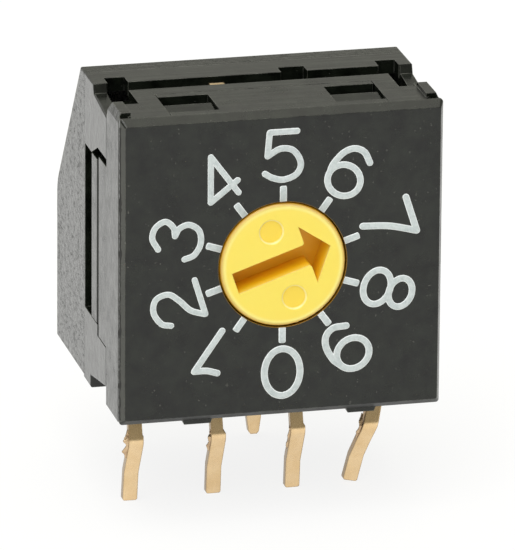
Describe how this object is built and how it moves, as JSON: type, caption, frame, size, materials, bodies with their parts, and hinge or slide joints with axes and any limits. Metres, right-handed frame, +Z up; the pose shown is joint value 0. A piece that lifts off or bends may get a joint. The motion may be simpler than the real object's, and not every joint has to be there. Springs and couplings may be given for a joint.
{
  "type": "rotary dip switch",
  "caption": "Rotary DIP switch standing upright on a circuit board: square black body, yellow screwdriver dial with an arrow, numbered positions, kinked solder terminals, wedge-shaped guard",
  "frame": {"origin": "on the circuit board's surface, in the middle of the terminal guard's seating rib", "axes": "+X to the right seen from the dial, +Y away from the dial towards the guard, +Z up, away from the board"},
  "size_m": [0.01, 0.0091, 0.0135],
  "materials": {
    "body_plastic": "glass-filled moulding, fine matte",
    "dial_plastic": "translucent yellow moulding",
    "seal_rubber": "smooth",
    "spring_steel": "rolled strip",
    "gilt_bronze": "gold-plated strip, sheared edges",
    "potting_resin": "poured resin",
    "white_ink": "printed ink"
  },
  "bodies": {
    "case": {"front_cover": "body_plastic", "housing": "body_plastic", "o_ring": "seal_rubber", "click_spring_left": "spring_steel", "click_spring_right": "spring_steel", "contact_base": "body_plastic", "base_potting": "potting_resin", "terminal_1": "gilt_bronze", "terminal_2": "gilt_bronze", "terminal_4": "gilt_bronze", "terminal_8": "gilt_bronze", "terminal_common": "gilt_bronze", "terminal_guard": "body_plastic"},
    "rotor": {"rotor": "dial_plastic", "code_disc": "gilt_bronze"}
  },
  "joints": [
    {"name": "rotor_turn", "type": "hinge", "parent": "case", "child": "rotor", "pos_m": [0, -0.0047, 0.005], "axis": [0, -1, 0], "continuous": true, "deforming": ["click_spring_left", "click_spring_right"]}
  ]
}
